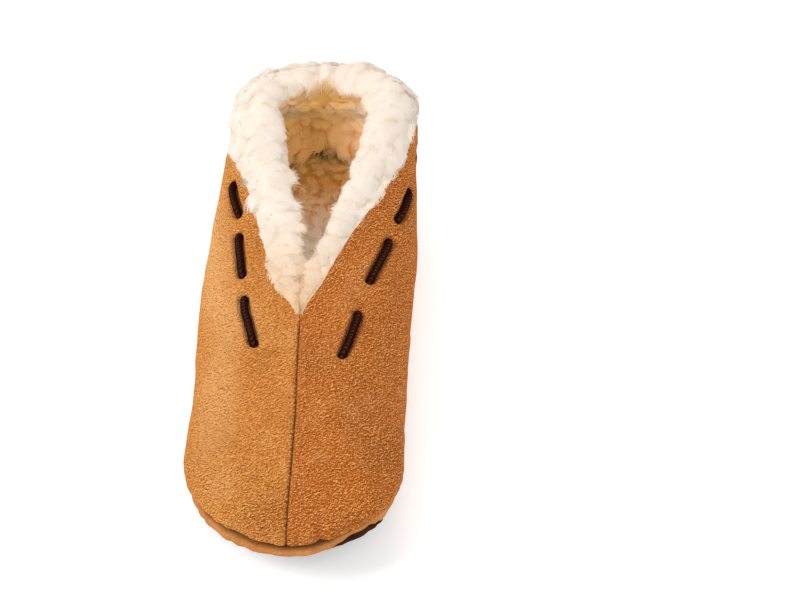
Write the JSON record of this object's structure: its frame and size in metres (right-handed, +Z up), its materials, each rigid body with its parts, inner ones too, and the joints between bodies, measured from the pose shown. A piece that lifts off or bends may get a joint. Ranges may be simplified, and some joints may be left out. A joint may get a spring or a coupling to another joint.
{
  "type": "slipper",
  "caption": "Fleece-lined suede slipper with a soft turned-up sole, a rolled fleece collar and a dark cord threaded round the top.",
  "frame": {"origin": "on the floor under the middle of the slipper's bounding box", "axes": "-Y points to the toe and +Y to the heel, +Z up, +X to the wearer's left when the slipper is worn"},
  "size_m": [0.1022, 0.2745, 0.0857],
  "materials": {
    "suede": "napped tan suede",
    "dark_leather": "matte dark brown",
    "fleece": "deep cream fleece",
    "cord_cotton": "braided dark brown cord"
  },
  "bodies": {
    "root": {"upper": "suede", "sole": "suede", "outsole": "dark_leather", "insole": "fleece", "fleece_lining": "fleece", "fleece_cuff": "fleece", "cord": "cord_cotton"}
  },
  "joints": []
}
